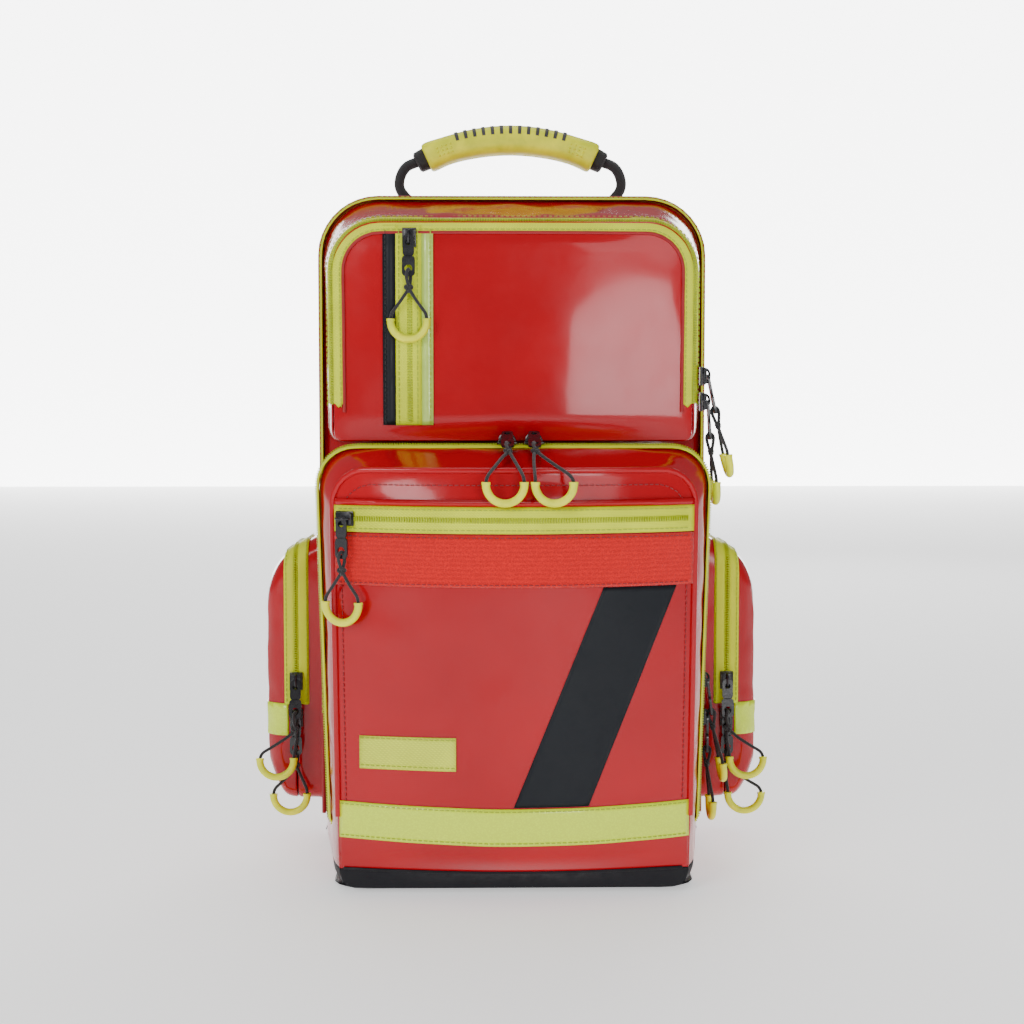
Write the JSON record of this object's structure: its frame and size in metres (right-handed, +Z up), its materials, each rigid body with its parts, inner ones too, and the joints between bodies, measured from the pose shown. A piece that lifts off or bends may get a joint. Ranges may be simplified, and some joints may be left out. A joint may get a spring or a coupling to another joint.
{
  "type": "trauma backpack",
  "caption": "Emergency medical backpack with an opening front, upper and lower pockets, side pockets, zip pulls, carry handle and harness.",
  "frame": {"origin": "on the floor under the seam between the rear tub and the front half, in the middle of the bag's width", "axes": "+Z up, -Y the front with the pockets, +Y the back with the shoulder straps, +X the side of the main zip's sliders"},
  "size_m": [0.4228, 0.337, 0.612],
  "materials": {
    "red": "glossy coated tarpaulin",
    "black_base": "matt coated tarpaulin",
    "zip_tape": "bright yellow-green zip tape",
    "zip_metal": "black lacquered",
    "grip_yellow": "moulded soft grip",
    "rope_black": "braided",
    "hook_band": "looped pile",
    "reflective": "prismatic tape",
    "label": "blank patch",
    "webbing": "woven webbing",
    "mesh_pad": "spacer mesh over foam",
    "buckle": "moulded",
    "frame_plastic": "polyethylene sheet",
    "stay_alloy": "flat bar",
    "pouch_red": "coated nylon",
    "pouch_blue": "coated nylon",
    "pouch_green": "coated nylon"
  },
  "bodies": {
    "root": {"main_shell": "red", "base_cover": "black_base", "left_pocket_wall": "red", "right_pocket_wall": "red", "left_zip": "zip_tape", "right_zip": "zip_tape", "main_zip": "zip_tape", "parked_sliders": "zip_metal", "frame_sheet": "frame_plastic", "frame_stays": "stay_alloy", "back_pads": "mesh_pad", "shoulder_strap_left": "mesh_pad", "shoulder_strap_right": "mesh_pad", "strap_webbing": "webbing", "ladder_locks": "buckle", "chest_strap": "webbing", "chest_buckle_socket": "buckle", "hip_belt": "mesh_pad", "hip_buckle_socket": "buckle", "airway_pouch": "pouch_blue", "circulation_pouch": "pouch_red", "dressing_pouch": "pouch_green"},
    "chest_plug": {"chest_buckle_plug": "buckle"},
    "hip_plug": {"hip_buckle_plug": "buckle"},
    "handle": {"handle_strap": "rope_black", "handle_grip": "grip_yellow"},
    "front_half": {"front_shell": "red", "upper_zip": "zip_tape", "lower_zip": "zip_tape", "upper_parked_slider": "zip_metal"},
    "upper_lid": {"upper_lid": "red", "vertical_zip": "zip_tape"},
    "lower_lid": {"lower_lid": "red", "panel_zip": "zip_tape", "name_band": "hook_band", "front_reflector": "reflective", "lower_lid_base": "black_base", "label_patch": "label"},
    "left_lid": {"left_pocket_lid": "red"},
    "right_lid": {"right_pocket_lid": "red"},
    "vertical_slider": {"vertical_slider": "zip_metal"},
    "panel_slider": {"panel_slider": "zip_metal"},
    "lower_slider_left": {"lower_slider_left": "zip_metal"},
    "lower_slider_right": {"lower_slider_right": "zip_metal"},
    "upper_slider": {"upper_slider": "zip_metal"},
    "main_slider": {"main_slider": "zip_metal"},
    "left_slider": {"left_slider": "zip_metal"},
    "right_slider": {"right_slider": "zip_metal"},
    "vertical_pull": {"vertical_pull": "zip_metal"},
    "panel_pull": {"panel_pull": "zip_metal"},
    "lower_pull_left": {"lower_pull_left": "zip_metal"},
    "lower_pull_right": {"lower_pull_right": "zip_metal"},
    "upper_pull_1": {"upper_pull_1": "zip_metal"},
    "upper_pull_2": {"upper_pull_2": "zip_metal"},
    "main_pull_1": {"main_pull_1": "zip_metal"},
    "main_pull_2": {"main_pull_2": "zip_metal"},
    "left_pull_1": {"left_pull_1": "zip_metal"},
    "left_pull_2": {"left_pull_2": "zip_metal"},
    "right_pull_1": {"right_pull_1": "zip_metal"},
    "right_pull_2": {"right_pull_2": "zip_metal"}
  },
  "joints": [
    {"name": "main_opening", "type": "hinge", "parent": "root", "child": "front_half", "pos_m": [0, -0.115, 0.006], "axis": [1, 0, 0], "range_deg": [0, 45]},
    {"name": "upper_lid_fold", "type": "hinge", "parent": "front_half", "child": "upper_lid", "pos_m": [0, -0.064, 0.356], "axis": [1, 0, 0], "range_deg": [0, 60]},
    {"name": "lower_lid_fold", "type": "hinge", "parent": "front_half", "child": "lower_lid", "pos_m": [0, -0.115, 0.006], "axis": [1, 0, 0], "range_deg": [0, 45]},
    {"name": "left_pocket_fold", "type": "hinge", "parent": "root", "child": "left_lid", "pos_m": [-0.1794, 0.049, 0.041], "axis": [0, -1, 0], "range_deg": [0, 90]},
    {"name": "right_pocket_fold", "type": "hinge", "parent": "root", "child": "right_lid", "pos_m": [0.1794, 0.049, 0.041], "axis": [0, 1, 0], "range_deg": [0, 90]},
    {"name": "handle_fold", "type": "hinge", "parent": "root", "child": "handle", "pos_m": [0, 0.09, 0.538], "axis": [1, 0, 0], "range_deg": [-70, 70]},
    {"name": "chest_buckle_release", "type": "slide", "parent": "root", "child": "chest_plug", "axis": [1, 0, 0], "range_m": [0, 0.024]},
    {"name": "hip_buckle_release", "type": "slide", "parent": "root", "child": "hip_plug", "axis": [1, 0, 0], "range_m": [0, 0.03]},
    {"name": "vertical_slide", "type": "slide", "parent": "upper_lid", "child": "vertical_slider", "axis": [0, 0, -1], "range_m": [0, 0.062]},
    {"name": "panel_slide", "type": "hinge", "parent": "lower_lid", "child": "panel_slider", "pos_m": [0, 0.163, 0.288], "axis": [0, 0, 1], "range_deg": [0, 46]},
    {"name": "lower_slide_left", "type": "slide", "parent": "lower_lid", "child": "lower_slider_left", "axis": [-1, 0, 0], "range_m": [0, 0.1]},
    {"name": "lower_slide_right", "type": "slide", "parent": "lower_lid", "child": "lower_slider_right", "axis": [1, 0, 0], "range_m": [0, 0.095]},
    {"name": "upper_slide", "type": "slide", "parent": "front_half", "child": "upper_slider", "axis": [0, 0, 1], "range_m": [0, 0.07]},
    {"name": "main_slide", "type": "slide", "parent": "root", "child": "main_slider", "axis": [0, 0, 1], "range_m": [0, 0.34]},
    {"name": "left_slide", "type": "slide", "parent": "root", "child": "left_slider", "axis": [0, 0, 1], "range_m": [0, 0.095]},
    {"name": "right_slide", "type": "slide", "parent": "root", "child": "right_slider", "axis": [0, 0, 1], "range_m": [0, 0.095]},
    {"name": "vertical_pull_swing", "type": "hinge", "parent": "vertical_slider", "child": "vertical_pull", "pos_m": [-0.08065, -0.08087, 0.501], "axis": [-0.9968, 0.0801, 0], "range_deg": [0, 100]},
    {"name": "panel_pull_swing", "type": "hinge", "parent": "panel_slider", "child": "panel_pull", "pos_m": [-0.12929, -0.12764, 0.288], "axis": [-0.9137, 0.4065, 0], "range_deg": [0, 100]},
    {"name": "lower_pull_left_swing", "type": "hinge", "parent": "lower_slider_left", "child": "lower_pull_left", "pos_m": [-0.005, -0.0846, 0.3514], "axis": [-1, 0, 0], "range_deg": [0, 60]},
    {"name": "lower_pull_right_swing", "type": "hinge", "parent": "lower_slider_right", "child": "lower_pull_right", "pos_m": [0.0155, -0.0846, 0.3514], "axis": [-1, 0, 0], "range_deg": [0, 60]},
    {"name": "upper_pull_1_swing", "type": "hinge", "parent": "upper_slider", "child": "upper_pull_1", "pos_m": [0.153, -0.0575, 0.395], "axis": [0, -1, 0], "range_deg": [0, 60]},
    {"name": "upper_pull_2_swing", "type": "hinge", "parent": "front_half", "child": "upper_pull_2", "pos_m": [0.153, -0.0575, 0.375], "axis": [0, -1, 0], "range_deg": [0, 60]},
    {"name": "main_pull_1_swing", "type": "hinge", "parent": "main_slider", "child": "main_pull_1", "pos_m": [0.1621, 0, 0.145], "axis": [0, -1, 0], "range_deg": [0, 10]},
    {"name": "main_pull_2_swing", "type": "hinge", "parent": "root", "child": "main_pull_2", "pos_m": [0.1621, 0, 0.114], "axis": [0, -1, 0], "range_deg": [0, 10]},
    {"name": "right_pull_1_swing", "type": "hinge", "parent": "right_slider", "child": "right_pull_1", "pos_m": [0.1794, 0.0039, 0.143], "axis": [-1, 0, 0], "range_deg": [0, 80]},
    {"name": "right_pull_2_swing", "type": "hinge", "parent": "root", "child": "right_pull_2", "pos_m": [0.1794, 0.0039, 0.112], "axis": [-1, 0, 0], "range_deg": [0, 80]},
    {"name": "left_pull_1_swing", "type": "hinge", "parent": "left_slider", "child": "left_pull_1", "pos_m": [-0.1794, 0.0039, 0.143], "axis": [-1, 0, 0], "range_deg": [0, 80]},
    {"name": "left_pull_2_swing", "type": "hinge", "parent": "root", "child": "left_pull_2", "pos_m": [-0.1794, 0.0039, 0.112], "axis": [-1, 0, 0], "range_deg": [0, 80]}
  ],
  "couplings": [
    {"joint": "upper_pull_2_swing", "follows": "upper_pull_1_swing", "ratio": 1},
    {"joint": "main_pull_2_swing", "follows": "main_pull_1_swing", "ratio": 1},
    {"joint": "right_pull_2_swing", "follows": "right_pull_1_swing", "ratio": 1},
    {"joint": "left_pull_2_swing", "follows": "left_pull_1_swing", "ratio": 1}
  ]
}
